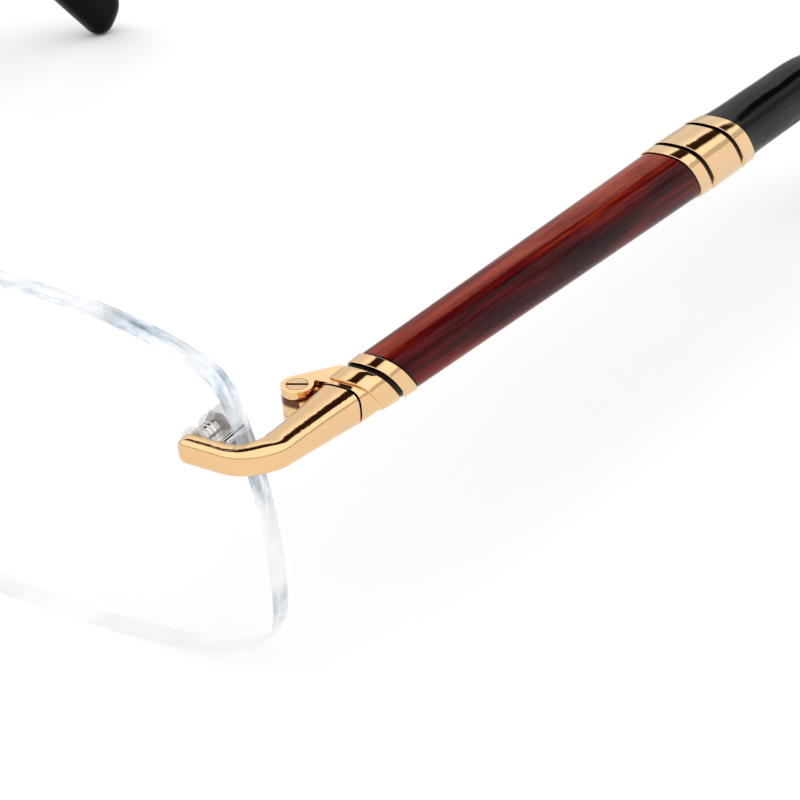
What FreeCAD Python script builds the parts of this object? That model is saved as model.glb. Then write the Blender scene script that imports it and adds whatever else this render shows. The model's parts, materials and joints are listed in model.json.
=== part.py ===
import FreeCAD, Part
import math
import os

# Rimless eyeglasses, millimetres, +Z up. The front faces -Y, the wearer's left is +X and the temples
# run back along +Y. The glasses stand on the lens bottoms and the temple tips, open.
# The front is drawn flat (lens upright, Y through the lens) and then leaned by the lens tilt.

# --- lenses ---
lens_width = 56.0
lens_height = 35.0
lens_thickness = 2.3
lens_curve_radius = 200.0
lens_gap = 19.0                 # between the two lenses, at their nearest
lens_tilt = 6.0                 # degrees, tops lean forwards

# --- end pieces and hinges ---
bar_height = 23.7               # above the lens bottom
bar_reach = 4.9                 # length of bar lying on the lens, in from the lens edge
bar_thickness = 1.9
bar_tall = 2.45
bar_lift = 0.42                 # the bar's middle above the level line of the arm
bar_standoff = 0.25             # thickness of the clear washer between bar and lens
arm_width = 4.4
bend_tall = 2.65
arm_tall = 3.75
arm_corner_radius = 4.6         # outside of the bend
arm_beyond_lens = 4.1           # outer face of the arm beyond the lens edge
section_power = 3.2             # 2 is an ellipse, higher is squarer
hinge_behind_lens = 11.1        # hinge axis behind the lens front
hinge_inboard = 3.6             # hinge axis in from the arm's centreline
butt_behind_axis = 1.0
butt_gap = 0.3
eye_radius = 1.5
knuckle_tall = 1.8
leaf_thick = 0.75
leaf_reach = 3.6                # the leaves run this far back along the hinge block
leaf_clearance = 0.06
screw_radius = 0.55
screw_head_radius = 1.0
screw_head_thick = 0.5
hinge_running = 0.04            # radial clearance in the moving knuckle
fixed_clearance = 0.01          # radial clearance where nothing moves
slot_width = 0.24
slot_depth = 0.22

# --- temples ---
temple_power = 2.7
temple_start_width = 4.4
wood_front_width = 4.85
wood_front_tall = 4.95
wood_rear_width = 6.3
wood_rear_tall = 6.6
tip_step = 0.3                  # the tip starts this much smaller than the wood
tip_round = 3.0                 # length of the rounded end
tip_end_width = 4.2
tip_end_tall = 7.6
wood_start = 8.9                # distances are measured back from the hinge axis
wood_length = 57.0
front_ring = 1.9
front_groove = 0.8
front_step = 2.6                # sleeve between the hinge block and the groove
rear_rings = (2.3, 0.85, 6.5, 0.85, 2.9)
ring_proud = 0.16
groove_deep = 0.5
front_slant = 42.0              # degrees the ring planes lean, lower edge further back
rear_slant = 40.0
bend_start = 98.0
bend_radius = 30.0
bend_angle = 42.0
core_radius = 0.7
core_end_short = 14.0           # the core stops this far before the end of the tip

# --- lens fixings ---
stud_radius = 0.6
stud_inset = 4.1                # stud in from the lens edge
pin_radius = 0.35
pin_proud = 0.6
pin_inset = 1.5
bushing_wall = 0.3
washer_radius = 1.5
washer_thick = 0.6
nut_across = 2.5
nut_thick = 1.4
stud_proud = 0.5

# --- bridge and nose pads ---
bridge_radius = 1.1
bridge_rise = 2.2
bridge_forward = 1.6
bridge_inset = 4.6              # bridge stud in from the lens's nasal edge
lug_radius = 2.1
pad_arm_radius = 0.5
pad_wide = 7.4
pad_tall = 13.0
pad_thick = 2.6
pad_x = 8.6
pad_behind_lens = 6.7
pad_height = 13.5
pad_vertical_lean = 18.0
pad_splay = 24.0
pad_tab_reach = 1.6             # rocking axis this far outside the back of the pad
tab_thick = 0.8
tab_radius = 0.8
box_wall = 0.5
box_clearance = 0.1
pad_screw_radius = 0.35

V = FreeCAD.Vector
X = V(1, 0, 0)
Y = V(0, 1, 0)
Z = V(0, 0, 1)
ORIGIN = V(0, 0, 0)

# Lens outline as fractions of the half width and half height, from the top centre round the
# temple side: fullest low on the temple side, drawn in towards the bottom on the nose side.
LENS_OUTLINE = [
    (0.0, 1.0), (0.17, 0.996), (0.34, 0.975), (0.51, 0.936), (0.66, 0.872), (0.775, 0.8), (0.85, 0.727),
    (0.893, 0.63), (0.918, 0.52), (0.945, 0.37), (0.969, 0.2), (0.988, -0.01), (1.0, -0.26),
    (0.997, -0.48), (0.983, -0.66), (0.945, -0.79), (0.87, -0.876), (0.76, -0.934), (0.6, -0.973),
    (0.36, -0.993), (0.1, -1.0), (-0.15, -0.985), (-0.38, -0.955), (-0.56, -0.89), (-0.69, -0.78),
    (-0.77, -0.62), (-0.83, -0.4), (-0.88, -0.13), (-0.925, 0.15), (-0.962, 0.42), (-0.985, 0.63),
    (-0.975, 0.79), (-0.92, 0.9), (-0.8, 0.962), (-0.6, 0.985), (-0.4, 0.993), (-0.2, 1.0)]

lens_centre_x = lens_gap / 2 + lens_width / 2
lens_mid = lens_height / 2


def closed_curve(points):
    """One smooth closed edge through the points, as a wire."""
    curve = Part.BSplineCurve()
    curve.interpolate(Points=points, PeriodicFlag=True)
    return Part.Wire([curve.toShape()])


def superellipse(half_a, half_b, power, count=28):
    """Points of a rounded rectangle, as (a, b) pairs."""
    pairs = []
    for i in range(count):
        t = 2 * math.pi * (i + 0.5) / count
        c, s = math.cos(t), math.sin(t)
        a = half_a * math.copysign(abs(c) ** (2 / power), c)
        b = half_b * math.copysign(abs(s) ** (2 / power), s)
        pairs.append((a, b))
    return pairs


def cylinder(radius, length, base, direction):
    return Part.makeCylinder(radius, length, base, direction)


def loft(wires):
    return Part.makeLoft(wires, True, False)


def mirrored(shape):
    return shape.mirror(ORIGIN, X)


# --- lens ---------------------------------------------------------------------------------------

def lens_front_y(x, h):
    """Flat-frame Y of the lens's front face; zero at the edge beside the end piece."""
    def sag(dx, dh):
        return lens_curve_radius - math.sqrt(lens_curve_radius ** 2 - dx ** 2 - dh ** 2)
    return sag(x - lens_centre_x, h - lens_mid) - sag(edge_x - lens_centre_x, bar_height - lens_mid)


def outline_points(y):
    return [V(lens_centre_x + u * lens_width / 2, y, lens_mid + v * lens_height / 2)
            for u, v in LENS_OUTLINE]


def outline_crossings(h):
    """X of the nasal and temple edges of the lens at height h."""
    blank = Part.Face(closed_curve(outline_points(0)))
    chord = blank.common(Part.makeLine(V(-10, 0, h), V(200, 0, h)))
    xs = sorted(v.X for v in chord.Vertexes)
    return xs[0], xs[-1]


nasal_x, edge_x = outline_crossings(bar_height)


def lens_blank():
    prism = Part.Face(closed_curve(outline_points(-20))).extrude(V(0, 40, 0))
    vertex = lens_front_y(lens_centre_x, lens_mid)
    middle = V(lens_centre_x, vertex + lens_curve_radius, lens_mid)
    outer = Part.makeSphere(lens_curve_radius, middle, X, -90, 90, 360)
    inner = Part.makeSphere(lens_curve_radius - lens_thickness, middle, X, -90, 90, 360)
    return prism.common(outer).cut(inner)


# --- end piece ----------------------------------------------------------------------------------

arm_outer_x = edge_x + arm_beyond_lens
arm_x = arm_outer_x - arm_width / 2
hinge_x = arm_x - hinge_inboard
bar_start_x = edge_x - bar_reach
stud_x = edge_x - stud_inset
pin_x = edge_x - pin_inset
stud_height = bar_height + bar_lift
bar_back_y = lens_front_y(stud_x, bar_height) - bar_standoff
bar_front_y = bar_back_y - bar_thickness
tilt = math.radians(lens_tilt)
hinge_y = hinge_behind_lens
hinge_h = bar_height - (hinge_y - bar_back_y) * math.tan(tilt)


def endpiece_station(outer_x, outer_y, heading, depth, tall, shrink=1.0):
    """A rounded section whose outer face is at the given point, heading along the bar."""
    along = V(math.cos(heading), math.sin(heading), 0)
    inward = V(-along.y, along.x, 0)
    drop = max(0.0, outer_y - bar_back_y) * math.tan(tilt)
    lift = bar_lift * (1 - ((outer_y - bar_front_y) / (hinge_y + butt_behind_axis - bar_front_y)) ** 2)
    centre = V(outer_x, outer_y, bar_height - drop + lift) + inward * (depth / 2)
    points = [centre + inward * (a * shrink) + Z * (b * shrink)
              for a, b in superellipse(depth / 2, tall / 2, section_power)]
    return closed_curve(points)


def endpiece_body():
    """Rounded end, bar on the lens, bend round the lens edge, arm, each lofted and then joined."""
    turn_x = arm_outer_x - arm_corner_radius
    turn_y = bar_front_y + arm_corner_radius
    butt_y = hinge_y + butt_behind_axis
    cap_long = 0.8
    cap = []
    for t in (0.0, 0.25, 0.5, 0.75, 1.0):
        shrink = 0.4 + 0.6 * math.sqrt(1 - (1 - t) ** 2)
        cap.append(endpiece_station(bar_start_x + cap_long * t, bar_front_y, 0, bar_thickness, bar_tall,
                                    shrink))
    bend = []
    steps = 6
    for i in range(steps + 1):
        part_way = i / steps
        heading = part_way * math.pi / 2
        depth = bar_thickness + (arm_width - bar_thickness) * 0.5 * part_way
        tall = bar_tall + (bend_tall - bar_tall) * part_way
        bend.append(endpiece_station(turn_x + arm_corner_radius * math.sin(heading),
                                     turn_y - arm_corner_radius * math.cos(heading),
                                     heading, depth, tall))
    swell = []
    for i in range(5):
        part_way = i / 4
        depth = arm_width * 0.5 + bar_thickness * 0.5 + (arm_width - bar_thickness) * 0.5 * part_way ** 2
        swell.append(endpiece_station(arm_outer_x, turn_y + (butt_y - turn_y) * part_way, math.pi / 2,
                                      depth, bend_tall + (arm_tall - bend_tall) * part_way))
    body = loft(cap)
    for piece in (loft([cap[-1], bend[0]]), loft(bend), loft(swell)):
        body = body.fuse(piece)
    return body


def endpiece():
    """Bar, bend, arm and the middle knuckle, with the leaves' clearance cut from the arm."""
    body = endpiece_body()
    stack_half = knuckle_tall / 2 + leaf_clearance + leaf_thick
    low = hinge_h - knuckle_tall / 2
    for base in (hinge_h + knuckle_tall / 2, hinge_h - stack_half - 0.3):
        body = body.cut(cylinder(eye_radius + 0.25, leaf_clearance + leaf_thick + 0.3,
                                 V(hinge_x, hinge_y, base), Z))
    eye = cylinder(eye_radius, knuckle_tall, V(hinge_x, hinge_y, low), Z)
    web = Part.makeBox(arm_x - hinge_x, eye_radius + butt_behind_axis - 0.05, knuckle_tall,
                       V(hinge_x, hinge_y - eye_radius, low))
    body = body.fuse(eye.fuse(web)).removeSplitter()
    bore = cylinder(screw_radius + hinge_running, 8, V(hinge_x, hinge_y, hinge_h - 4), Z)
    holes = [cylinder(stud_radius + fixed_clearance, 1.1, V(stud_x, bar_back_y + 0.1, stud_height), -Y),
             cylinder(pin_radius + fixed_clearance, 0.9, V(pin_x, bar_back_y + 0.1, stud_height), -Y)]
    return body.cut(bore).cut(holes[0]).cut(holes[1])


# --- lens fixings -------------------------------------------------------------------------------

def hexagon(across, thick, base):
    radius = across / math.sqrt(3)
    corners = [base + V(radius * math.cos(i * math.pi / 3), 0, radius * math.sin(i * math.pi / 3))
               for i in range(7)]
    block = Part.Face(Part.makePolygon(corners)).extrude(V(0, thick, 0))
    return block.common(cylinder(radius * 0.965, thick, base, Y))


def fixing(x, bar_y, pin_at, h):
    """Stud, pin, bushing, washers and nut for one lens hole; bar_y is the metal's back face."""
    front = lens_front_y(x, h)
    seat = front + lens_thickness + 0.12
    stud_end = seat + washer_thick + nut_thick + stud_proud
    stud = cylinder(stud_radius, stud_end - bar_y + 1.0, V(x, bar_y - 1.0, h), Y)
    pin_front = lens_front_y(pin_at, h)
    pin_back = pin_front + lens_thickness + pin_proud
    pin = cylinder(pin_radius, pin_back - bar_y + 0.7, V(pin_at, bar_y - 0.7, h), Y)
    bushing = cylinder(stud_radius + bushing_wall, lens_thickness, V(x, front + 0.01, h), Y)
    sleeve_long = pin_back - pin_front - 0.02
    sleeve = cylinder(pin_radius + bushing_wall, sleeve_long, V(pin_at, pin_front + 0.02, h), Y)
    front_washer = cylinder(washer_radius, front - bar_y + 0.4, V(x, bar_y + 0.01, h), Y)
    front_washer = front_washer.cut(lens_blank().translated(V(0, -0.02, 0)))
    rear_washer = cylinder(washer_radius, washer_thick + 0.4, V(x, seat - 0.4, h), Y)
    rear_washer = rear_washer.cut(lens_blank().translated(V(0, 0.02, 0)))
    nut = hexagon(nut_across, nut_thick, V(x, seat + washer_thick + 0.01, h))
    hole = cylinder(stud_radius + fixed_clearance, 20, V(x, -10, h), Y)
    pin_hole = cylinder(pin_radius + fixed_clearance, 20, V(pin_at, -10, h), Y)
    sleeve_hole = cylinder(pin_radius + bushing_wall + fixed_clearance, 20, V(pin_at, -10, h), Y)
    bushing_room = cylinder(stud_radius + bushing_wall + fixed_clearance, lens_thickness + 0.04,
                            V(x, front - 0.01, h), Y)
    washers = Part.makeCompound([washer.cut(hole).cut(sleeve_hole).cut(bushing_room)
                                 for washer in (front_washer, rear_washer)])
    bushings = Part.makeCompound([bushing.cut(hole), sleeve.cut(pin_hole)])
    return {"studs": stud, "pins": pin, "bushings": bushings, "washers": washers, "nuts": nut.cut(hole)}


def lens():
    body = lens_blank()
    for x, pin_at, h in ((stud_x, pin_x, stud_height), (bridge_stud_x, bridge_pin_x, bar_height)):
        body = body.cut(cylinder(stud_radius + bushing_wall + fixed_clearance, 40, V(x, -20, h), Y))
        body = body.cut(cylinder(pin_radius + bushing_wall + fixed_clearance, 40, V(pin_at, -20, h), Y))
    return body


# --- bridge and pad arms ------------------------------------------------------------------------

bridge_stud_x = nasal_x + bridge_inset
bridge_pin_x = nasal_x + pin_inset + 0.4
bridge_back_y = lens_front_y(bridge_stud_x, bar_height) - bar_standoff


def bridge():
    """An arch between the lenses, flattening to a lug in front of each."""
    centre_y = bridge_back_y - bridge_radius
    stations = []
    count = 12
    reach = bridge_stud_x - 0.4
    for i in range(count + 1):
        s = -1 + 2 * i / count
        lift = 1 - s * s
        x = reach * s
        y = centre_y - bridge_forward * lift * lift
        h = bar_height + bridge_rise * lift
        slope_h = -2 * bridge_rise * s / reach
        slope_y = 4 * bridge_forward * lift * s / reach
        across = V(-slope_y, 1, 0).normalize()
        upward = V(-slope_h, 0, 1).normalize()
        tall = bridge_radius * (1.0 + 0.25 * s * s)
        points = [V(x, y, h) + across * (bridge_radius * math.cos(t)) + upward * (tall * math.sin(t))
                  for t in [2 * math.pi * k / 16 for k in range(16)]]
        stations.append(closed_curve(points))
    body = loft(stations)
    for side in (-1, 1):
        seat = V(side * bridge_stud_x, bridge_back_y, bar_height)
        lug = cylinder(lug_radius, bridge_radius * 1.5, seat, -Y)
        lug = lug.makeFillet(0.35, [e for e in lug.Edges if e.BoundBox.YMax < bridge_back_y - 0.5
                                    and e.BoundBox.XLength > 1])
        body = body.fuse(lug)
    keep = Part.makeBox(80, 20, 40, V(-40, bridge_back_y - 20, 0))
    body = body.common(keep)
    for side in (-1, 1):
        body = body.cut(cylinder(stud_radius + fixed_clearance, 1.0,
                                 V(side * bridge_stud_x, bridge_back_y, bar_height), -Y))
        body = body.cut(cylinder(pin_radius + fixed_clearance, 0.7,
                                 V(side * bridge_pin_x, bridge_back_y, bar_height), -Y))
    return body.removeSplitter()


pad_axis_x = pad_x + pad_thick / 2 + pad_tab_reach
pad_axis_y = pad_behind_lens
pad_axis_h = pad_height
box_deep = tab_thick + 2 * box_clearance + 2 * box_wall


def pad_box():
    """A small open box that holds the pad's tab: two walls joined on the lens side."""
    base = V(pad_axis_x - 0.9, pad_axis_y - box_deep / 2, pad_axis_h - 1.1)
    block = Part.makeBox(2.6, box_deep, 2.2, base)
    upright = [e for e in block.Edges if abs(e.tangentAt(e.FirstParameter).y) > 0.9]
    block = block.makeFillet(0.35, upright)
    slot = Part.makeBox(2.0, tab_thick + 2 * box_clearance, 4,
                        V(pad_axis_x - 0.95, pad_axis_y - tab_thick / 2 - box_clearance, pad_axis_h - 2))
    return block.cut(slot)


def pad_arm(bridge_solid):
    """A wire from the back of the bridge, down behind the lens and into the pad box."""
    start_x = nasal_x - 1.6
    s = start_x / (bridge_stud_x - 0.4)
    start = V(start_x, bridge_back_y - 0.6, bar_height + bridge_rise * (1 - s * s))
    points = [start, start + V(0.1, 2.2, -1.2), start + V(0.7, 6.2, -2.9),
              V(pad_axis_x + 2.9, pad_axis_y + 0.3, pad_axis_h + 4.6),
              V(pad_axis_x + 2.7, pad_axis_y, pad_axis_h + 1.2),
              V(pad_axis_x + 1.3, pad_axis_y, pad_axis_h)]
    curve = Part.BSplineCurve()
    curve.interpolate(Points=points)
    path = Part.Wire([curve.toShape()])
    direction = curve.tangent(curve.FirstParameter)[0]
    ring = Part.Wire([Part.makeCircle(pad_arm_radius, start, direction)])
    wire = path.makePipeShell([ring], True, True)
    shape = wire.fuse(pad_box()).removeSplitter()
    slot = Part.makeBox(2.0, tab_thick + 2 * box_clearance, 4,
                        V(pad_axis_x - 0.95, pad_axis_y - tab_thick / 2 - box_clearance, pad_axis_h - 2))
    screw_at = V(pad_axis_x, pad_axis_y - 3, pad_axis_h)
    screw_hole = cylinder(pad_screw_radius + fixed_clearance, 6, screw_at, Y)
    return shape.cut(slot).cut(screw_hole).cut(bridge_solid)


def pad_screw():
    half = box_deep / 2
    shaft = cylinder(pad_screw_radius, box_deep + 0.1, V(pad_axis_x, pad_axis_y - half, pad_axis_h), Y)
    head = cylinder(0.65, 0.4, V(pad_axis_x, pad_axis_y + half + 0.02, pad_axis_h), Y)
    slot = Part.makeBox(2, 0.4, 0.16, V(pad_axis_x - 1, pad_axis_y + half + 0.26, pad_axis_h - 0.08))
    return shaft.fuse(head).cut(slot)


def pad_frame(shape):
    """Lean a pad drawn facing -X about the origin, and set it in its place."""
    shape = shape.copy()
    shape.rotate(ORIGIN, Y, -pad_vertical_lean)
    shape.rotate(ORIGIN, Z, -pad_splay)
    shape.translate(V(pad_x, pad_axis_y, pad_axis_h))
    return shape


def pad_cushion():
    """A soft oval pad, fuller on the side that meets the nose."""
    wires = []
    for x, scale in ((-0.6, 0.42), (-0.54, 0.66), (-0.4, 0.86), (-0.16, 0.98), (0.08, 0.98),
                     (0.22, 0.84), (0.28, 0.6)):
        pairs = superellipse(pad_wide / 2 * scale, pad_tall / 2 * scale, 2.2, 24)
        wires.append(closed_curve([V(x * pad_thick, a, b) for a, b in pairs]))
    return loft(wires)


def pad_insert():
    """The metal plate inside the pad, with the tab that stands in the box."""
    plate = Part.makeBox(0.5, 2.6, 5.0, V(-0.35, -1.3, -2.5))
    plate = plate.makeFillet(0.2, [e for e in plate.Edges if abs(e.tangentAt(e.FirstParameter).x) > 0.9])
    plate = pad_frame(plate)
    reach = pad_axis_x - pad_x
    tab = Part.makeBox(reach + 0.2, tab_thick, 2 * tab_radius,
                       V(pad_x - 0.2, pad_axis_y - tab_thick / 2, pad_axis_h - tab_radius))
    end = cylinder(tab_radius, tab_thick, V(pad_axis_x, pad_axis_y - tab_thick / 2, pad_axis_h), Y)
    hole = cylinder(pad_screw_radius + hinge_running, 4, V(pad_axis_x, pad_axis_y - 2, pad_axis_h), Y)
    return plate.fuse(tab).fuse(end).removeSplitter().cut(hole)


# --- placing the flat front ---------------------------------------------------------------------

def lowest(shape):
    return min(p.z for p in shape.tessellate(0.01)[0])


def lean(shape):
    """Flat frame to glasses frame: tilt about X, hinge axis at Y zero."""
    shape = shape.copy()
    shape.rotate(ORIGIN, X, lens_tilt)
    shape.translate(V(0, -hinge_y * math.cos(tilt) + hinge_h * math.sin(tilt), 0))
    return shape


def raised(shape):
    """Set the leaned front so that the lens bottoms stand on the ground."""
    shape = shape.copy()
    shape.translate(V(0, 0, -lens_low))
    return shape


lens_solid = lens()
lens_low = lowest(lean(lens_solid))
hinge_z = hinge_y * math.sin(tilt) + hinge_h * math.cos(tilt) - lens_low


# --- temple -------------------------------------------------------------------------------------

def temple_point(d):
    """Centreline point and downward heading at distance d behind the hinge axis."""
    turn = math.radians(bend_angle)
    arc = bend_radius * turn
    if d <= bend_start:
        return V(arm_x, d, hinge_z), 0.0
    if d <= bend_start + arc:
        angle = (d - bend_start) / bend_radius
        return V(arm_x, bend_start + bend_radius * math.sin(angle),
                 hinge_z - bend_radius * (1 - math.cos(angle))), angle
    rest = d - bend_start - arc
    return V(arm_x, bend_start + bend_radius * math.sin(turn) + rest * math.cos(turn),
             hinge_z - bend_radius * (1 - math.cos(turn)) - rest * math.sin(turn)), turn


groove_at = wood_start - front_ring - front_groove
step_at = groove_at - front_step
wood_end = wood_start + wood_length
rear_end = wood_end + sum(rear_rings)


def temple_size(d, length):
    """Half width and half height of the temple at distance d."""
    start = (temple_start_width, arm_tall)
    wood_front = (wood_front_width, wood_front_tall)
    wood_rear = (wood_rear_width, wood_rear_tall)
    tip_start = (wood_rear_width - tip_step, wood_rear_tall - tip_step)
    tip_end = (tip_end_width, tip_end_tall)
    if d <= wood_start:
        a, b, t = start, wood_front, (d - butt_behind_axis) / (wood_start - butt_behind_axis)
    elif d <= rear_end:
        a, b, t = wood_front, wood_rear, (d - wood_start) / wood_length
    else:
        a, b, t = tip_start, tip_end, (d - rear_end) / (length - rear_end)
    t = max(0.0, min(1.0, t))
    return (a[0] + (b[0] - a[0]) * t) / 2, (a[1] + (b[1] - a[1]) * t) / 2


def temple_station(d, slant, length, grow=0.0, shrink=1.0, power=temple_power):
    """Section across the temple, its plane leaning so that the lower edge is further back."""
    centre, heading = temple_point(d)
    along = V(0, math.cos(heading), -math.sin(heading))
    upward = V(0, math.sin(heading), math.cos(heading))
    half_w, half_t = temple_size(d, length)
    shear = math.tan(math.radians(slant))
    points = [centre + X * a + upward * b - along * (b * shear)
              for a, b in superellipse((half_w + grow) * shrink, (half_t + grow) * shrink, power)]
    return closed_curve(points)


def band(d0, d1, slant0, slant1, length, grow=0.0, crown=0.0, steps=4):
    """A length of temple between two leaning planes, optionally crowned."""
    wires = []
    for i in range(steps + 1):
        t = i / steps
        bulge = grow + crown * (1 - abs(2 * t - 1) ** 3)
        wires.append(temple_station(d0 + (d1 - d0) * t, slant0 + (slant1 - slant0) * t, length, bulge))
    return loft(wires)


def core(radius, start, end):
    """The wire that runs the length of the temple, straight, round the bend and down."""
    turn = math.radians(bend_angle)
    arc_end = bend_start + bend_radius * turn
    straight = cylinder(radius, bend_start - start, V(arm_x, start, hinge_z), Y)
    ring = Part.makeCircle(radius, V(arm_x, bend_start, hinge_z), Y)
    bend = Part.Face(Part.Wire([ring])).revolve(V(arm_x, bend_start, hinge_z - bend_radius), V(-1, 0, 0),
                                                bend_angle)
    corner, heading = temple_point(arc_end)
    last = cylinder(radius, end - arc_end, corner, V(0, math.cos(heading), -math.sin(heading)))
    return straight.fuse(bend).fuse(last).removeSplitter()


def hinge_block(length):
    """The gold block behind the hinge, with the two leaves that clasp the front's knuckle."""
    start = butt_behind_axis + butt_gap
    body = loft([temple_station(start, lens_tilt, length, power=section_power),
                 temple_station((start + step_at) / 2, (lens_tilt + front_slant) / 2, length, power=3.0),
                 temple_station(step_at, front_slant, length)])
    stack_half = knuckle_tall / 2 + leaf_clearance + leaf_thick
    back = start + leaf_reach
    plan = [V(-0.776, 0.63) * eye_radius, V(hinge_inboard - 1.6, back), V(hinge_inboard, back),
            V(hinge_inboard, start + 0.2), V(1.1, start), V(1.1, 0)]
    plan = [V(hinge_x + p.x, p.y, 0) for p in plan]
    prism = Part.Face(Part.makePolygon(plan + plan[:1])).extrude(V(0, 0, 2 * stack_half))
    prism.translate(V(0, 0, -stack_half))
    prism = prism.fuse(cylinder(eye_radius, 2 * stack_half, V(hinge_x, 0, -stack_half), Z))
    gap_half = knuckle_tall / 2 + leaf_clearance
    opening = Part.makeBox(6, 2.25 + 4, 2 * gap_half, V(hinge_x - 3.4, -4, -gap_half))
    prism = prism.cut(opening)
    prism = prism.cut(cylinder(screw_radius + fixed_clearance, 10, V(hinge_x, 0, -5), Z))
    prism = prism.cut(cylinder(screw_head_radius + fixed_clearance, 2,
                               V(hinge_x, 0, stack_half - screw_head_thick), Z))
    prism.rotate(ORIGIN, X, lens_tilt)
    prism.translate(V(0, 0, hinge_z))
    beyond = band(groove_at, groove_at + 8, front_slant, front_slant, length, grow=6)
    sleeve = band(step_at, groove_at + 1, front_slant, front_slant, length, grow=ring_proud)
    return body.fuse(prism.cut(beyond).cut(sleeve)).removeSplitter()


def hinge_screw():
    stack_half = knuckle_tall / 2 + leaf_clearance + leaf_thick
    shaft = cylinder(screw_radius, 2 * stack_half, V(hinge_x, 0, -stack_half), Z)
    head = cylinder(screw_head_radius, screw_head_thick, V(hinge_x, 0, stack_half - screw_head_thick), Z)
    slot = Part.makeBox(4, slot_width, 2, V(hinge_x - 2, -slot_width / 2, stack_half - slot_depth))
    slot.rotate(V(hinge_x, 0, 0), Z, 25)
    screw = shaft.fuse(head).removeSplitter().cut(slot)
    screw.rotate(ORIGIN, X, lens_tilt)
    screw.translate(V(0, 0, hinge_z))
    return screw


def grooved(sleeve, grooves, slant, length):
    """Cut the grooves from a gold sleeve and give back the sleeve and the black rings in them."""
    rings = []
    for d0, d1 in grooves:
        floor = band(d0, d1, slant, slant, length, grow=ring_proud - groove_deep)
        cutter = band(d0, d1, slant, slant, length, grow=1.5).cut(floor)
        sleeve = sleeve.cut(cutter)
        rings.append(band(d0, d1, slant, slant, length, grow=ring_proud - 0.2).cut(floor))
    return sleeve, Part.makeCompound(rings)


def tip(length):
    """Black end: the leaning plane straightens before the bend, then the end is rounded off."""
    wires = []
    lead = 5
    for i in range(lead):
        t = i / lead
        wires.append(temple_station(rear_end + (bend_start - rear_end) * t, rear_slant * (1 - t), length))
    last = length - tip_round
    count = 9
    for i in range(count + 1):
        wires.append(temple_station(bend_start + (last - bend_start) * i / count, 0.0, length))
    cap = []
    for t in (1.0, 0.8, 0.6, 0.4, 0.2, 0.0):
        shrink = 0.25 + 0.75 * math.sqrt(1 - (1 - t) ** 2)
        cap.append(temple_station(length - tip_round * t, 0.0, length, shrink=shrink))
    return loft(wires).fuse(loft(cap))


def temple(length):
    """Every piece of the left temple, from the hinge block to the black tip."""
    block = hinge_block(length)
    front = band(step_at, wood_start, front_slant, front_slant, length, grow=ring_proud, steps=5)
    front, front_enamel = grooved(front, [(groove_at, groove_at + front_groove)], front_slant, length)
    edges = [wood_end]
    for size in rear_rings:
        edges.append(edges[-1] + size)
    rear = band(wood_end, rear_end, rear_slant, rear_slant, length, grow=ring_proud, crown=0.12, steps=6)
    rear, rear_enamel = grooved(rear, [(edges[1], edges[2]), (edges[3], edges[4])], rear_slant, length)
    wood = band(wood_start, wood_end, front_slant, rear_slant, length, steps=6)
    end = tip(length)
    wire = core(core_radius, step_at + 2.7, length - core_end_short)
    tunnel = core(core_radius + fixed_clearance, step_at + 2.4, length - core_end_short + 0.3)
    return {"hinge_block": block, "front_ferrule": front.cut(tunnel), "front_enamel": front_enamel,
            "wood_barrel": wood.cut(tunnel), "rear_ferrule": rear.cut(tunnel), "rear_enamel": rear_enamel,
            "temple_tip": end.cut(tunnel), "temple_core": wire, "hinge_screw": hinge_screw()}


def temple_length():
    """Length at which the tip just reaches the level of the lens bottoms."""
    trial = bend_start + bend_radius * math.radians(bend_angle) + 20
    return trial + lowest(tip(trial)) / math.sin(math.radians(bend_angle))


# --- assemble -----------------------------------------------------------------------------------

def assemble():
    """All the named pieces: left and right sides, and the small fixings grouped by kind."""
    nodes = {}
    bridge_solid = bridge()
    nodes["bridge"] = raised(lean(bridge_solid))
    sided = {"lens": lens_solid, "endpiece": endpiece(), "pad_arm": pad_arm(bridge_solid),
             "pad_insert": pad_insert()}
    sided["nose_pad"] = pad_frame(pad_cushion()).cut(sided["pad_insert"])
    for name, shape in sided.items():
        nodes[name + "_left"] = raised(lean(shape))
        nodes[name + "_right"] = mirrored(nodes[name + "_left"])
    outer = fixing(stud_x, bar_back_y, pin_x, stud_height)
    inner = fixing(bridge_stud_x, bridge_back_y, bridge_pin_x, bar_height)
    groups = {"lens_" + kind: [outer[kind], inner[kind]] for kind in outer}
    groups["pad_screws"] = [pad_screw()]
    for name, shapes in groups.items():
        left = [raised(lean(s)) for s in shapes]
        nodes[name] = Part.makeCompound(left + [mirrored(s) for s in left])
    for name, shape in temple(temple_length()).items():
        nodes[name + "_left"] = shape
        nodes[name + "_right"] = mirrored(shape)
    return nodes


def centred(nodes):
    """Put the origin under the middle of the whole part's bounding box."""
    points = [p for shape in nodes.values() for p in shape.tessellate(0.02)[0]]
    middle_y = (min(p.y for p in points) + max(p.y for p in points)) / 2
    for shape in nodes.values():
        shape.translate(V(0, -middle_y, 0))
    return middle_y


os.makedirs("parts", exist_ok=True)
all_nodes = assemble()
shift = centred(all_nodes)
for node_name, node_shape in all_nodes.items():
    solids = len(node_shape.Solids)
    print(node_name, "solids", solids, "valid", node_shape.isValid(), "mm3", round(node_shape.Volume, 2))
    node_shape.exportStep("parts/" + node_name + ".step")
print("hinge axis at x", round(hinge_x, 3), "y", round(-shift, 3), "z", round(hinge_z, 3))
pivot = raised(lean(Part.Vertex(V(pad_axis_x, pad_axis_y, pad_axis_h)))).Point
print("pad pivot at x", round(pivot.x, 3), "y", round(pivot.y - shift, 3), "z", round(pivot.z, 3))
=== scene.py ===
# %% [markdown]
# # Rimless eyeglasses with rosewood temples
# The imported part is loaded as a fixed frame: every metal, glass and wood piece is already there at its
# real size. This lesson gives each piece its finish, rounds the edges that catch the light, adds the
# fine turned details, and lights the glasses as on a white studio table.

# %% Load the part
import json
import math
import bmesh
import bpy
from mathutils import Matrix, Vector


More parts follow.
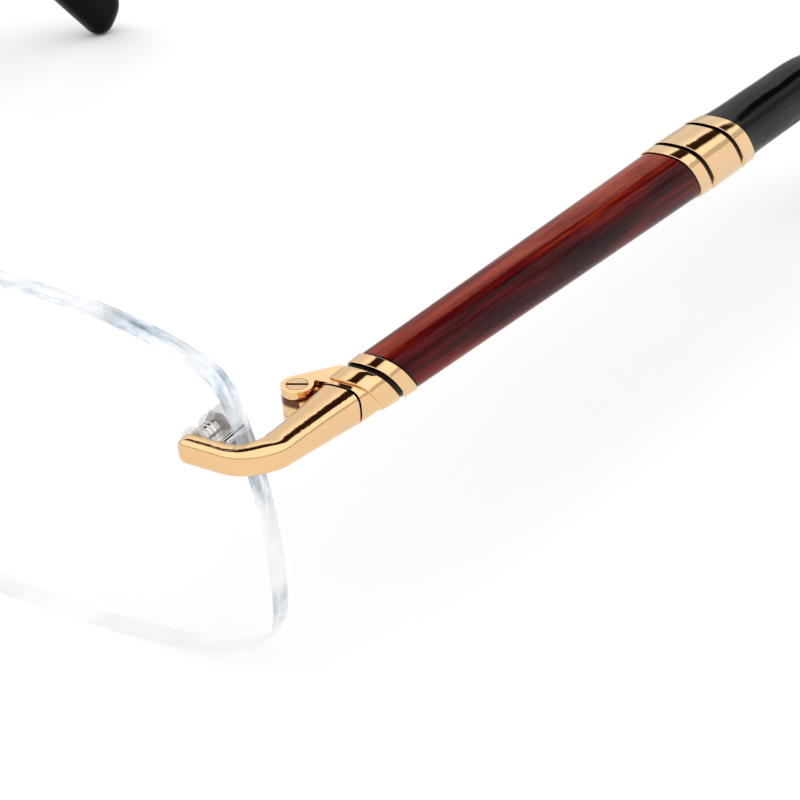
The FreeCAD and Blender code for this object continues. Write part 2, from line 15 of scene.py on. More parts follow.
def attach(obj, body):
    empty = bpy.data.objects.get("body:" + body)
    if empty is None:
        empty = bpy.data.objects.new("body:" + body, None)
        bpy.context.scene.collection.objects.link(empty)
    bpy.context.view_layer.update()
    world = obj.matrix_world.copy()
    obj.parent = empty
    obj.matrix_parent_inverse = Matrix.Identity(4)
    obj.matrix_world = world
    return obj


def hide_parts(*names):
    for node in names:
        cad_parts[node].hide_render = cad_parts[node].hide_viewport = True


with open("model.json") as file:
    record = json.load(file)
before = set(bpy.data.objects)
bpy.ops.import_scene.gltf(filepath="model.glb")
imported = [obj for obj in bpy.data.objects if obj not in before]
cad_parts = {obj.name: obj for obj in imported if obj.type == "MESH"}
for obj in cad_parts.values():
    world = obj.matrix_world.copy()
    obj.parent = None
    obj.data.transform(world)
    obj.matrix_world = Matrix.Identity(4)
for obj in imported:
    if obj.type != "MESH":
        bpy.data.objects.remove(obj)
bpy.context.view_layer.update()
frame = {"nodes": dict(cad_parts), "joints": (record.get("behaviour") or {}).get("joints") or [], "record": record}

nodes = frame["nodes"]
joints = {joint["name"]: joint for joint in frame["joints"]}
MM = 0.001
SIDES = ("left", "right")

# %% [markdown]
# ## Node helper
# Every finish below is a small node tree. Building a tree in code is the same three moves each time:
# add a node, set its values, link it. One short helper keeps the recipes readable. Its last methods
# make the groups of nodes that come back in several finishes, such as stretched noise.

# %% A helper for node trees
class Tree:
    """Adds and links nodes in one tree."""

    def __init__(self, tree):
        self.nodes = tree.nodes
        self.links = tree.links

    def put(self, node, name, value):
        """Links a socket to an input, or sets the input's own value."""
        if isinstance(value, bpy.types.NodeSocket):
            self.links.new(value, node.inputs[name])
        else:
            node.inputs[name].default_value = value

    def add(self, kind, settings=None, **inputs):
        node = self.nodes.new(kind)
        for key, value in (settings or {}).items():
            setattr(node, key, value)
        for key, value in inputs.items():
            self.put(node, key.replace("_", " "), value)
        return node

    def math(self, operation, *values):
        node = self.add("ShaderNodeMath", {"operation": operation})
        for index, value in enumerate(values):
            self.put(node, index, value)
        return node.outputs[0]

    def vector(self, operation, *values):
        """Vector maths; the result is in the output called Vector or Value."""
        node = self.add("ShaderNodeVectorMath", {"operation": operation})
        for index, value in enumerate(values):
            self.put(node, index, value)
        return node.outputs

    def place(self):
        """The X, Y and Z of Object coordinates, in metres."""
        where = self.add("ShaderNodeTexCoord")
        return self.add("ShaderNodeSeparateXYZ", Vector=where.outputs["Object"]).outputs

    def noise(self, scale, detail, **shape):
        """Noise on Object coordinates, with its own scale along X, Y and Z."""
        where = self.add("ShaderNodeTexCoord")
        stretched = self.add("ShaderNodeMapping", Vector=where.outputs["Object"], Scale=scale)
        texture = self.add("ShaderNodeTexNoise", Vector=stretched.outputs[0], Scale=1.0, Detail=detail,
                           **shape)
        return texture.outputs["Fac"]

    def fade(self, value, low, high, start=0.0, end=1.0):
        """A smooth change, from start at the low value to end at the high one."""
        node = self.add("ShaderNodeMapRange", {"interpolation_type": "SMOOTHSTEP"}, Value=value,
                        From_Min=low, From_Max=high, To_Min=start, To_Max=end)
        return node.outputs[0]

    def ramp(self, value, stops):
        """A colour ramp through (position, colour) stops."""
        node = self.add("ShaderNodeValToRGB")
        self.links.new(value, node.inputs[0])
        elements = node.color_ramp.elements
        while len(elements) < len(stops):
            elements.new(0.5)
        for element, (position, colour) in zip(elements, stops):
            element.position = position
            element.color = (*colour, 1.0)
        return node.outputs[0]

    def mix(self, kind, factor, first, second):
        """Two colours mixed. The node's colour inputs are its numbers 6 and 7."""
        node = self.add("ShaderNodeMix", {"data_type": "RGBA", "blend_type": kind}, Factor=factor)
        self.put(node, 6, first)
        self.put(node, 7, second)
        return node.outputs[2]


def new_material(name):
    """An empty material, its tree helper and its output node."""
    material = bpy.data.materials.new(name)
    material.use_nodes = True
    material.node_tree.nodes.clear()
    tree = Tree(material.node_tree)
    output = tree.add("ShaderNodeOutputMaterial")
    return material, tree, output


print("node helper ready")

# %% [markdown]
# ## Rose-gold plating
# The end pieces, bridge, hinges and ferrules are polished metal with a thin rose-gold plate. Polished
# metal has almost no colour of its own: it shows the room, tinted. So the tint goes on the base colour,
# the roughness stays low, and very faint polishing marks keep the mirror from looking like plastic.

# %% The plating recipe
def plated(name, colour, rough, marks=0.02):
    """Metal with a tint, a roughness, and polishing marks that vary the roughness."""
    material, tree, output = new_material(name)
    fine = tree.noise((900, 900, 900), 4.0)
    slow = tree.noise((120, 120, 120), 2.0)
    tint = tree.ramp(slow, [(0.3, [c * 0.95 for c in colour]), (0.7, colour)])
    dents = tree.add("ShaderNodeBump", Strength=0.02, Distance=0.02 * MM, Height=fine)
    shader = tree.add("ShaderNodeBsdfPrincipled", Base_Color=tint, Metallic=1.0,
                      Roughness=tree.math("MULTIPLY_ADD", fine, marks, rough), Normal=dents.outputs[0])
    tree.put(output, "Surface", shader.outputs[0])
    return material


print("plating recipe ready")

# %% [markdown]
# ## Painted shade in the hinge knuckle
# The knuckle under the hinge's upper leaf is painted nearly black: painted shade for the narrow gap,
# where little light reaches. The dark band follows the hinge pin, so the mask is worked out from the
# distance to the pin's axis and the height along it. Both come from plain vector maths on Object
# coordinates, and the X coordinate is folded so that one recipe serves both sides.

# %% A dark band round the hinge pin
def painted_shade_near_hinge(material, joint, top, depth, reach):
    """Darkens the knuckle just under the upper leaf: painted shade for the narrow gap."""
    tree = Tree(material.node_tree)
    shader = next(node for node in tree.nodes if node.type == "BSDF_PRINCIPLED")
    plain = shader.inputs["Base Color"].links[0].from_socket
    x, y, z = tree.place()
    folded = tree.add("ShaderNodeCombineXYZ", X=tree.math("ABSOLUTE", x), Y=y, Z=z)
    offset = tree.vector("SUBTRACT", folded.outputs[0], joint["pos_m"])["Vector"]
    rise = tree.vector("DOT_PRODUCT", offset, joint["axis"])["Value"]
    length = tree.vector("LENGTH", offset)["Value"]
    square = tree.math("SUBTRACT", tree.math("MULTIPLY", length, length), tree.math("MULTIPLY", rise, rise))
    near = tree.math("LESS_THAN", tree.math("SQRT", square), reach)
    band = tree.fade(rise, top - depth, top - depth * 0.6)
    below = tree.math("LESS_THAN", rise, top + 0.1 * MM)
    mask = tree.math("MULTIPLY", tree.math("MULTIPLY", near, band), below)
    # painted shade: inside the mask the knuckle's colour turns dark brown
    tree.put(shader, "Base Color", tree.mix("MIX", mask, plain, (0.13, 0.05, 0.03, 1)))


print("hinge shade recipe ready")

# %% [markdown]
# ## The metals in use
# One recipe gives every metal here. The gold of the big pieces is the most polished, the screws are
# plated a little duller, and the studs, pins and nuts are bare bright steel. The core wire inside the
# temple is drawn steel that nobody polished.

# %% Metals
gold_tint = (0.84, 0.55, 0.28)
rose_gold = plated("rose_gold_plate", gold_tint, 0.06)
screw_gold = plated("screw_gold_plate", (0.78, 0.53, 0.31), 0.14, 0.06)
# painted shade: a near-black gold for the screw slots and the rims of the screw heads
shade_gold = plated("painted_shade_gold", (0.13, 0.055, 0.03), 0.25, 0.06)
silver = plated("bright_steel", (0.62, 0.61, 0.60), 0.10, 0.05)
core_steel = plated("core_wire_steel", (0.60, 0.60, 0.61), 0.30, 0.10)
hinge_gold = plated("hinge_gold_plate", gold_tint, 0.06)
knuckle_top = 0.9 * MM
shade_depth = 0.95 * MM
shade_reach = 1.9 * MM
# the hinge gold carries painted shade in the knuckle under the upper leaf
painted_shade_near_hinge(hinge_gold, joints["left_temple_fold"], knuckle_top, shade_depth, shade_reach)
print("metals:", rose_gold.name, screw_gold.name, shade_gold.name, silver.name, core_steel.name)

# %% [markdown]
# ## Rosewood
# The temples are turned from rosewood, and a thin black line of filler closes the joint where the wood
# enters each gold ferrule. The ferrule ends are slanted, so a joint is a slanted plane: its place is
# read off the ferrule meshes instead of being typed in, and it stays right if the part changes size.

# %% Where the ferrules end on the wood
def furthest(node_name, slope, pick):
    return pick(v.co.y + v.co.z * slope for v in nodes[node_name].data.vertices)


front_slope = math.tan(math.radians(42))
rear_slope = math.tan(math.radians(40))
front_end = furthest("front_ferrule_left", front_slope, max)
rear_end = furthest("rear_ferrule_left", rear_slope, min)
print("wood shows from", round(front_end, 5), "to", round(rear_end, 5))

# %% [markdown]
# ## Wood grain
# The grain runs along the temple, so the pattern is noise stretched a long way in Y. Broad dark
# streaks, fine lines and tiny pores are three sizes of the same idea. The outer face is painted
# darker as painted shade, slow clouds break up the evenness, and the wood grows paler towards the rear.

# %% Colour of the wood
def wood_colour(tree, outward, rear_level, lines):
    broad = tree.noise((420, 18, 420), 3.0, Roughness=0.55, Distortion=0.5)
    smoke = tree.noise((140, 70, 140), 2.0)
    pores = tree.noise((5200, 260, 5200), 2.0)
    # painted shade: the outer face of the temple is made darker
    outer_face_shade = tree.fade(outward, 66.2 * MM, 68.2 * MM, start=-0.2)
    paler = tree.fade(rear_level, rear_end - 30 * MM, rear_end - 5 * MM, end=0.075)
    figure = tree.math("ADD", tree.math("MULTIPLY", broad, 0.62), tree.math("MULTIPLY", lines, 0.38))
    figure = tree.math("SUBTRACT", figure, tree.math("MULTIPLY", outer_face_shade, 0.13))
    cloud = tree.math("MULTIPLY", tree.math("SUBTRACT", smoke, 0.5), 0.24)
    figure = tree.math("ADD", tree.math("ADD", figure, cloud), paler)
    grain = tree.ramp(figure, [(0.28, (0.012, 0.0010, 0.0020)), (0.37, (0.045, 0.0034, 0.0048)),
                               (0.45, (0.11, 0.0055, 0.0040)), (0.53, (0.20, 0.021, 0.008)),
                               (0.66, (0.31, 0.052, 0.020))])
    dots = tree.ramp(pores, [(0.30, (0.35, 0.30, 0.30)), (0.40, (1, 1, 1))])
    return tree.mix("MULTIPLY", 0.8, grain, dots)


print("wood colour recipe ready")

# %% [markdown]
# ## Lacquer
# The wood has a thick clear lacquer. It is the shader's coat: it gives the sharp pale reflections while
# the wood below stays softly coloured. The black filler lines are two slanted planes, so the colour
# turns dark wherever a point is too near one of them.

# %% Lacquered rosewood
def rosewood_finish():
    material, tree, output = new_material("rosewood_lacquer")
    x, y, z = tree.place()
    front_level = tree.math("MULTIPLY_ADD", z, front_slope, y)
    rear_level = tree.math("MULTIPLY_ADD", z, rear_slope, y)
    lines = tree.noise((2600, 45, 2600), 4.0, Roughness=0.6, Distortion=0.3)
    colour = wood_colour(tree, tree.math("ABSOLUTE", x), rear_level, lines)
    past_front = tree.math("GREATER_THAN", front_level, front_end + 0.35 * MM)
    before_rear = tree.math("LESS_THAN", rear_level, rear_end - 0.30 * MM)
    bare = tree.math("MULTIPLY", past_front, before_rear)
    lined = tree.mix("MIX", bare, (0.002, 0.001, 0.001, 1), colour)
    ridges = tree.add("ShaderNodeBump", Strength=0.15, Distance=0.03 * MM, Height=lines)
    shader = tree.add("ShaderNodeBsdfPrincipled", Base_Color=lined, Roughness=0.45, Specular_IOR_Level=0.0,
                      Normal=ridges.outputs[0], Coat_Weight=1.0, Coat_Roughness=0.05, Coat_IOR=1.12)
    tree.put(output, "Surface", shader.outputs[0])
    return material


rosewood = rosewood_finish()
print("wood:", rosewood.name)

# %% [markdown]
# ## Black tips and enamel
# The tips are polished black acetate, and the ferrule grooves are filled with black enamel. Both are
# nearly black with a clear gloss. A little cloudiness in the colour and roughness keeps them from being
# a flat hole in the picture.

# %% Black finishes
def glossy_black(name, colour, rough, scale):
    material, tree, output = new_material(name)
    cloud = tree.noise((scale, scale * 0.3, scale), 3.0)
    tint = tree.ramp(cloud, [(0.3, colour), (0.7, [c * 1.8 for c in colour])])
    shader = tree.add("ShaderNodeBsdfPrincipled", Base_Color=tint, IOR=1.12,
                      Roughness=tree.math("MULTIPLY_ADD", cloud, 0.04, rough))
    tree.put(output, "Surface", shader.outputs[0])
    return material


black_tip = glossy_black("black_acetate", (0.0015, 0.0015, 0.002), 0.07, 300)
enamel = glossy_black("groove_enamel", (0.0015, 0.0015, 0.0015), 0.12, 900)
print("blacks:", black_tip.name, enamel.name)

# %% [markdown]
# ## Lens faces
# A coated lens face lets everything through and reflects a little only at a slant. A Glass shader would
# bend the view and cast a dark shadow, so this is a Transparent shader mixed with a Glossy one. Layer
# Weight says how slanted the view is, and its fourth power keeps the reflection near the edges.

# %% A clear face
def clear_face():
    material, tree, output = new_material("lens_face_clear")
    haze = tree.noise((60, 60, 60), 2.0)
    tint = tree.ramp(haze, [(0.3, (0.996, 0.998, 1.0)), (0.7, (1, 1, 1))])
    through = tree.add("ShaderNodeBsdfTransparent", Color=tint)
    gloss = tree.add("ShaderNodeBsdfGlossy", Roughness=0.02)
    slant = tree.add("ShaderNodeLayerWeight", Blend=0.5).outputs["Facing"]
    blend = tree.add("ShaderNodeMixShader")
    tree.put(blend, 0, tree.math("MULTIPLY", tree.math("POWER", slant, 4.0), 0.25))
    tree.put(blend, 1, through.outputs[0])
    tree.put(blend, 2, gloss.outputs[0])
    tree.put(output, "Surface", blend.outputs[0])
    return material


lens_face = clear_face()
print("face:", lens_face.name)

# %% [markdown]
# ## The polished lens rim
# The rim is what makes a rimless lens visible: light is caught inside the glass and leaves in pale
# blue-grey streaks that run round the edge. Noise squeezed along Y makes the streaks, a coarser noise
# breaks them into patches, and the alpha falls towards the bottom, where the rim lies against its own
# pale reflection and almost disappears.

# %% The rim finish
def rim_finish():
    material, tree, output = new_material("lens_rim_polished")
    bands = tree.noise((90, 1500, 90), 4.0, Roughness=0.65, Distortion=0.8)
    chips = tree.noise((420, 700, 420), 3.0, Roughness=0.6)
    patches = tree.noise((110, 60, 110), 2.0)
    streaks = tree.math("ADD", tree.math("MULTIPLY", bands, 0.5), tree.math("MULTIPLY", chips, 0.5))
    colour = tree.ramp(streaks, [(0.36, (0.13, 0.18, 0.23)), (0.45, (0.34, 0.43, 0.52)),
                                 (0.53, (0.60, 0.67, 0.77)), (0.62, (0.92, 0.93, 0.96))])
    cover = tree.ramp(patches, [(0.36, (0.15, 0.15, 0.15)), (0.52, (0.90, 0.90, 0.90))])
    raised = tree.fade(tree.place()[2], 1 * MM, 9 * MM, start=0.12)
    shader = tree.add("ShaderNodeBsdfPrincipled", Base_Color=colour, Roughness=0.12,
                      Alpha=tree.math("MULTIPLY", cover, raised))
    tree.put(output, "Surface", shader.outputs[0])
    return material


lens_rim = rim_finish()
print("rim:", lens_rim.name)

# %% [markdown]
# ## Clear plastic
# The washers in front of and behind the lens and the nose pads are soft clear plastic. They are small
# and cloudy rather than glassy, so a partly see-through Principled shader is enough, with a slow noise
# that varies both the colour and how much shows through.

# %% Washers and nose pads
def clear_plastic(name, tint, alpha):
    material, tree, output = new_material(name)
    flow = tree.noise((500, 500, 500), 2.0)
    colour = tree.ramp(flow, [(0.35, [c * 0.8 for c in tint]), (0.65, tint)])
    cover = tree.ramp(flow, [(0.3, [alpha * 0.7] * 3), (0.7, [alpha * 1.3] * 3)])
    shader = tree.add("ShaderNodeBsdfPrincipled", Base_Color=colour, Roughness=0.08, Alpha=cover)
    tree.put(output, "Surface", shader.outputs[0])
    return material


washer_plastic = clear_plastic("clear_sleeve_plastic", (0.80, 0.76, 0.72), 0.30)
pad_plastic = clear_plastic("nose_pad_plastic", (0.90, 0.92, 0.92), 0.5)
print("plastic:", washer_plastic.name, pad_plastic.name)

# %% [markdown]
# ## Rounding the edges
# A real plated edge is never knife sharp: polishing rounds it by a tenth of a millimetre, and that
# narrow curve is what draws the bright outline of every ring. Each gold piece is copied, its loose
# triangles are merged, and a Bevel modifier rounds only the true corners. The copy then stands for
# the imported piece.

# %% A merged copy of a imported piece
weld_distance = 0.002 * MM


def merged_copy(node_name, new_name):
    mesh = nodes[node_name].data.copy()
    mesh.name = new_name
    work = bmesh.new()
    work.from_mesh(mesh)
    bmesh.ops.remove_doubles(work, verts=work.verts, dist=weld_distance)
    bmesh.ops.recalc_face_normals(work, faces=work.faces)
    bmesh.ops.dissolve_limit(work, angle_limit=math.radians(0.05), verts=work.verts, edges=work.edges)
    work.to_mesh(mesh)
    work.free()
    copy = bpy.data.objects.new(new_name, mesh)
    bpy.context.scene.collection.objects.link(copy)
    return copy


def set_finish(piece, material):
    piece.data.materials.clear()
    piece.data.materials.append(material)


def body_of(node_name):
    groups = frame["record"]["behaviour"]["bodies"]
    return next(body for body, members in groups.items() if node_name in members)


def plain_mesh(maker):
    """The mesh an object has once its modifiers are applied."""
    return bpy.data.meshes.new_from_object(maker.evaluated_get(bpy.context.evaluated_depsgraph_get()))


print("copying helpers ready")

# %% [markdown]
# ## Bevel and even shading
# The Bevel modifier adds two narrow faces at each true corner, and Weighted Normal leans the shading of
# those faces towards the big ones beside them, so that reflections stay straight across a flat face.
# Both are applied with new_from_object, which leaves a plain mesh.

# %% Rounded copies of the gold pieces
def rounded(node_name, width, material, segments=2):
    piece = merged_copy(node_name, node_name + "_polished")
    bevel = piece.modifiers.new("edge", "BEVEL")
    bevel.width = width * MM
    bevel.segments = segments
    bevel.limit_method = "ANGLE"
    bevel.angle_limit = math.radians(40)
    bevel.use_clamp_overlap = True
    weighted = piece.modifiers.new("even_shading", "WEIGHTED_NORMAL")
    weighted.mode = "FACE_AREA_WITH_ANGLE"
    weighted.weight = 90
    weighted.keep_sharp = True
    piece.data.shade_smooth()
    piece.data.set_sharp_from_angle(angle=math.radians(32))
    applied = plain_mesh(piece)
    piece.modifiers.clear()
    piece.data = applied
    set_finish(piece, material)
    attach(piece, body_of(node_name))
    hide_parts(node_name)
    return piece


for side in SIDES:
    made = [rounded("rear_ferrule_" + side, 0.10, rose_gold),
            rounded("front_ferrule_" + side, 0.09, rose_gold),
            rounded("hinge_block_" + side, 0.07, rose_gold),
            rounded("endpiece_" + side, 0.08, hinge_gold),
            rounded("hinge_screw_" + side, 0.05, screw_gold)]
    print(side, [(p.name, len(p.data.polygons)) for p in made])

# %% [markdown]
# ## Screw slots
# The slot of a plated screw never shines like its head. The walls and floor of the slot, and the
# narrow rim of the head, are painted dark: painted shade for the slot and the gap round the head.
# The flat top is found by its direction and its height along the pin.

# %% Dark slot and rim on each hinge screw
for side in SIDES:
    screw = bpy.data.objects["hinge_screw_" + side + "_polished"]
    joint = joints[side + "_temple_fold"]
    foot = Vector(joint["pos_m"])
    axis = Vector(joint["axis"])
    axis = axis if axis.z > 0 else -axis
    top = max((v.co - foot).dot(axis) for v in screw.data.vertices)
    # the second slot is the painted shade in the slot and in the gap round the head
    screw.data.materials.append(shade_gold)
    for face in screw.data.polygons:
        at_the_top = (face.center - foot).dot(axis) > top - 0.02 * MM
        flat_top = face.normal.dot(axis) > 0.95 and at_the_top
        face.material_index = 0 if flat_top else 1
    print(screw.name, sum(face.material_index for face in screw.data.polygons), "dark faces")

# %% [markdown]
# ## Lenses
# The lens is drilled for its studs, and a metal sleeve lines each hole. To give the rim and the hole
# walls different finishes, the script first has to know where the holes are. All the sleeves come in
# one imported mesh, so it is split into its separate solids and each one is measured.

# %% Find the sleeves in the drilled holes
def islands(mesh):
    """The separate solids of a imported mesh, as lists of points."""
    work = bmesh.new()
    work.from_mesh(mesh)
    bmesh.ops.remove_doubles(work, verts=work.verts, dist=weld_distance)
    left = set(work.verts)
    found = []
    while left:
        waiting = [left.pop()]
        points = []
        while waiting:
            vert = waiting.pop()
            points.append(vert.co.copy())
            for link in vert.link_edges:
                other = link.other_vert(vert)
                if other in left:
                    left.remove(other)
                    waiting.append(other)
        found.append(points)
    work.free()
    return found


lens_lean = math.radians(6)
lens_axis = Vector((0, math.cos(lens_lean), math.sin(lens_lean)))


def off_axis(point, middle):
    """Distance of a point from the line through the middle, along the lens axis."""
    offset = point - middle
    return (offset - lens_axis * offset.dot(lens_axis)).length


sleeves = []
for points in islands(nodes["lens_bushings"].data):
    middle = sum(points, Vector()) / len(points)
    sleeves.append((middle, max(off_axis(p, middle) for p in points), min(p.dot(lens_axis) for p in points)))
print("sleeves:", [round(radius / MM, 2) for middle, radius, first in sleeves])

# %% [markdown]
# ## Lenses with two finishes
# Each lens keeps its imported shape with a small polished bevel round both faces. Faces that look along
# the lens axis are clear, and so are the hole walls; the rest is the rim. One mesh with two material
# slots keeps the lens a single piece, as it is on the real glasses.

# %% Lenses with a bevelled rim
def in_a_hole(point):
    return any(off_axis(point, middle) < radius + 0.2 * MM for middle, radius, first in sleeves)


for side in SIDES:
    lens = rounded("lens_" + side, 0.14, lens_face, segments=1)
    lens.data.materials.append(lens_rim)
    for face in lens.data.polygons:
        clear = abs(face.normal.dot(lens_axis)) > 0.93 or in_a_hole(face.center)
        face.material_index = 0 if clear else 1
    rim_faces = sum(face.material_index for face in lens.data.polygons)
    print(lens.name, len(lens.data.polygons), "faces,", rim_faces, "on the rim")

# %% [markdown]
# ## Turned rings on the lens studs
# Inside each lens hole the stud carries a collar turned with fine rings, which grip the sleeve. Rings
# that repeat along an axis suit Geometry Nodes: one small torus, a line of points along the stud, and
# the torus set at each point. The count, pitch and sizes are named inputs.

# %% A node group that sets rings along a line
def ring_group():
    group = bpy.data.node_groups.new("stud_rings", "GeometryNodeTree")
    kinds = {"Count": "Int", "Pitch": "Float", "Radius": "Float", "Wire": "Float", "Start": "Vector",
             "Tilt": "Vector", "Finish": "Material"}
    sockets = {}
    for name, kind in kinds.items():
        socket = group.interface.new_socket(name, in_out="INPUT", socket_type="NodeSocket" + kind)
        sockets[name] = socket.identifier
    group.interface.new_socket("Geometry", in_out="OUTPUT", socket_type="NodeSocketGeometry")
    tree = Tree(group)
    given = tree.add("NodeGroupInput").outputs
    wire = tree.add("GeometryNodeCurvePrimitiveCircle", Radius=given["Wire"], Resolution=10)
    hoop = tree.add("GeometryNodeCurvePrimitiveCircle", Radius=given["Radius"], Resolution=40)
    torus = tree.add("GeometryNodeCurveToMesh", Curve=hoop.outputs[0], Profile_Curve=wire.outputs[0])
    step = tree.add("ShaderNodeCombineXYZ", Z=given["Pitch"])
    points = tree.add("GeometryNodeMeshLine", Count=given["Count"], Offset=step.outputs[0])
    rings = tree.add("GeometryNodeInstanceOnPoints", Points=points.outputs[0], Instance=torus.outputs[0])
    placed = tree.add("GeometryNodeTransform", Geometry=rings.outputs[0], Translation=given["Start"],
                      Rotation=given["Tilt"])
    real = tree.add("GeometryNodeRealizeInstances", Geometry=placed.outputs[0])
    painted = tree.add("GeometryNodeSetMaterial", Geometry=real.outputs[0], Material=given["Finish"])
    tree.add("NodeGroupOutput", Geometry=painted.outputs[0])
    return group, sockets


stud_rings, ring_inputs = ring_group()
print("inputs:", list(ring_inputs))

# %% [markdown]
# ## Rings on every stud
# A temporary object carries the modifier for one stud. Its values are set by each socket's identifier,
# because two inputs may share a name, and the result is turned into a plain mesh. The wide sleeves
# belong to the studs and get rings, while the narrow ones belong to the plain pins and are skipped.

# %% Give each stud its rings
ring_meshes = []
for middle, radius, first in sleeves:
    if radius < 0.8 * MM:
        continue
    start = middle + lens_axis * (first + 0.3 * MM - middle.dot(lens_axis))
    maker = bpy.data.objects.new("ring_maker", bpy.data.meshes.new("ring_maker"))
    bpy.context.scene.collection.objects.link(maker)
    rings = maker.modifiers.new("rings", "NODES")
    rings.node_group = stud_rings
    settings = {"Count": 4, "Pitch": 0.52 * MM, "Radius": radius - 0.02 * MM, "Wire": 0.10 * MM,
                "Start": start, "Tilt": (lens_lean - math.radians(90), 0, 0), "Finish": silver}
    for name, value in settings.items():
        rings[ring_inputs[name]] = value
    ring_meshes.append(plain_mesh(maker))
    bpy.data.objects.remove(maker)
print("rings made for", len(ring_meshes), "studs")

# %% [markdown]
# ## One collar piece
# All the rings are the same small metal and ride on the same body, so their meshes are joined into one
# piece. It is new, so it is given its body and its material slot.

# %% Join the rings
joined = bmesh.new()
for mesh in ring_meshes:
    joined.from_mesh(mesh)
collar_mesh = bpy.data.meshes.new("stud_collar_rings")
joined.to_mesh(collar_mesh)
joined.free()
collar_mesh.materials.append(silver)
collar_mesh.shade_smooth()
collar = bpy.data.objects.new("stud_collar_rings", collar_mesh)
bpy.context.scene.collection.objects.link(collar)
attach(collar, "front")
print("collar rings:", len(collar_mesh.polygons), "faces")

# %% [markdown]
# ## Finishes for the pieces that stay as packed
# The wood, the tips, the nose pads and the small fixings are right as they are, so only their material
# changes. A table of piece names and finishes is easier to check than a line for each piece.

# %% Assign the other finishes
paired = {"wood_barrel": rosewood, "temple_tip": black_tip, "temple_core": core_steel,
          "front_enamel": enamel, "rear_enamel": enamel, "pad_arm": rose_gold, "pad_insert": rose_gold,
          "nose_pad": pad_plastic}
single = {"bridge": rose_gold, "lens_studs": silver, "lens_pins": silver, "lens_nuts": silver,
          "lens_bushings": silver, "lens_washers": washer_plastic, "pad_screws": screw_gold}
for stem, material in paired.items():
    for side in SIDES:
        set_finish(nodes[stem + "_" + side], material)
for name, material in single.items():
    set_finish(nodes[name], material)
print("finished", [name for name, node in nodes.items() if not node.hide_render])

# %% [markdown]
# ## Studio
# Small shiny things are photographed on a plain white table. A diffuse plane is enough: it takes the
# soft shadow and fills the gold from below. The faint variation keeps it from being a dead flat white.

# %% The table
def white_table():
    table_drop = 0.02 * MM
    bpy.ops.mesh.primitive_plane_add(size=6.0, location=(0, 0, -table_drop))
    table = bpy.context.object
    table.name = "table"
    material, tree, output = new_material("white_table")
    colour = tree.ramp(tree.noise((3, 3, 3), 2.0), [(0.3, (0.89, 0.89, 0.89)), (0.7, (0.91, 0.91, 0.91))])
    shader = tree.add("ShaderNodeBsdfDiffuse", Color=colour)
    tree.put(output, "Surface", shader.outputs[0])
    table.data.materials.append(material)
    return table


table = white_table()
print("table ready:", table.name)

# %% [markdown]
# ## Room light
# The room is a soft, even white. Polished gold needs something dark to reflect or it looks like paper,
# so the room has one dark panel high up behind the glasses, a slightly dim part of the wall under it
# and a dim strip at the horizon. All are drawn by direction in the world's own node tree. The panel
# leans, which keeps it out of the flat hinge leaf while it still crosses every rounded edge.

# %% A range of angles with soft ends
def between(tree, angle, low, high, blur):
    """One between two angles given in degrees, zero outside, fading over the blur at each end."""
    half = blur / 2
    rising = tree.fade(angle, math.radians(low - half), math.radians(low + half))
    falling = tree.fade(angle, math.radians(high - half), math.radians(high + half))
    return tree.math("MULTIPLY", rising, tree.math("SUBTRACT", 1.0, falling))


print("angle ranges ready")

# %% [markdown]
# ## The room itself
# The background direction is turned into two angles, the height above the horizon and the heading.
# The panel and the strip are then simple ranges of those angles. The panel is a warm brown where it
# is darkest, so its edge in the gold runs through brown, as polished gold does in a real room.

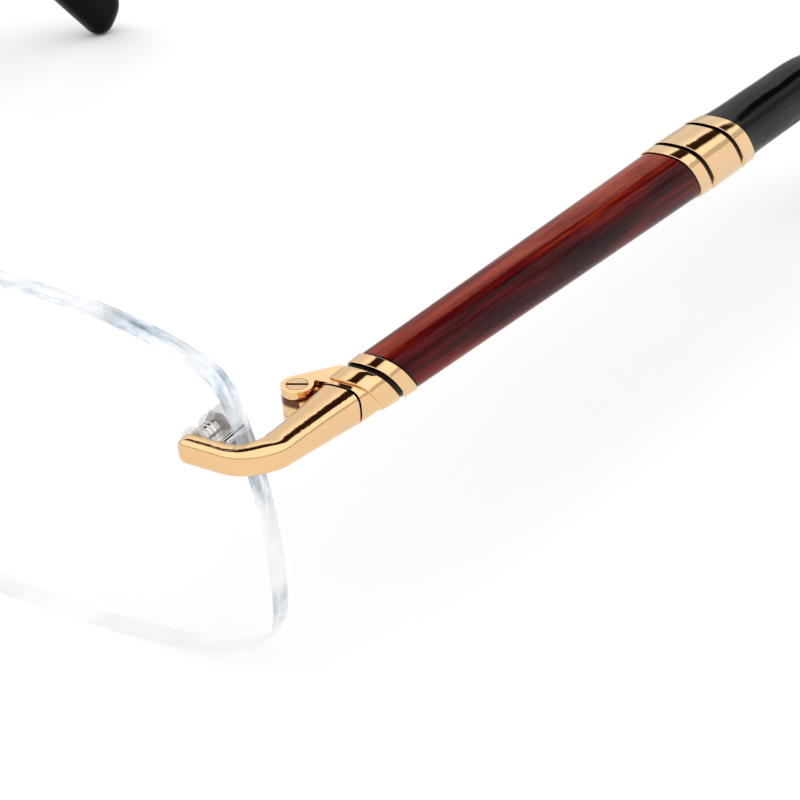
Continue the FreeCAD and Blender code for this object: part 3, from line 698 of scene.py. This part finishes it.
# %% A white room with one dark panel
def studio_room(strength):
    world = bpy.data.worlds.new("studio_room")
    bpy.context.scene.world = world
    world.use_nodes = True
    world.node_tree.nodes.clear()
    tree = Tree(world.node_tree)
    direction = tree.add("ShaderNodeTexCoord").outputs["Generated"]
    x, y, z = tree.add("ShaderNodeSeparateXYZ", Vector=direction).outputs
    height = tree.math("ARCSINE", z)
    heading = tree.math("ARCTAN2", x, y)
    slanted = tree.math("ADD", height, tree.math("MULTIPLY", heading, 0.34))
    panel = tree.math("MULTIPLY", between(tree, slanted, 25.8, 48, 4), between(tree, heading, -75, 15, 8))
    under_panel = tree.math("MULTIPLY", between(tree, slanted, -20, 20, 12),
                            between(tree, heading, -90, 0, 20))
    horizon = between(tree, height, -5, 13, 6)
    dim = tree.math("MAXIMUM", tree.math("MULTIPLY", horizon, 0.50), tree.math("MULTIPLY", under_panel, 0.34))
    level = tree.math("SUBTRACT", 1.0, tree.math("MAXIMUM", tree.math("MULTIPLY", panel, 0.98), dim))
    warmth = tree.ramp(level, [(0.0, (1.0, 0.45, 0.25)), (0.15, (1.0, 0.80, 0.62)), (0.45, (1.0, 1.0, 1.0))])
    light = tree.math("MULTIPLY", level, strength)
    background = tree.add("ShaderNodeBackground", Color=warmth, Strength=light)
    tree.add("ShaderNodeOutputWorld", Surface=background.outputs[0])
    return world


room = studio_room(1.4)
print("room ready:", room.name)

# %% [markdown]
# ## Camera
# The camera stands in front of the wearer's left hinge, above it and a little outside. It is placed by
# azimuth, elevation and a slight roll: three directions at right angles make the columns of its matrix.
# The long lens keeps the temple from shrinking too fast with distance.

# %% Camera
azimuth, elevation, roll = math.radians(32.497), math.radians(26.313), math.radians(-0.731)
stand = (0.17424, -0.21871, 0.11961)
back = Vector((math.sin(azimuth) * math.cos(elevation), -math.cos(azimuth) * math.cos(elevation),
               math.sin(elevation)))
level_right = Vector((math.cos(azimuth), math.sin(azimuth), 0))
level_up = back.cross(level_right)
right = level_right * math.cos(roll) + level_up * math.sin(roll)
up = level_up * math.cos(roll) - level_right * math.sin(roll)
camera_data = bpy.data.cameras.new("studio_camera")
camera_data.lens = 110.593
camera_data.sensor_width = 36
camera_data.clip_start = 0.01
camera = bpy.data.objects.new("studio_camera", camera_data)
bpy.context.scene.collection.objects.link(camera)
rows = [(right[i], up[i], back[i], stand[i]) for i in range(3)]
camera.matrix_world = Matrix((*rows, (0, 0, 0, 1)))
bpy.context.scene.camera = camera
bpy.context.scene.view_settings.view_transform = "Standard"
print("camera", [round(v, 4) for v in camera.location], "lens", camera_data.lens)
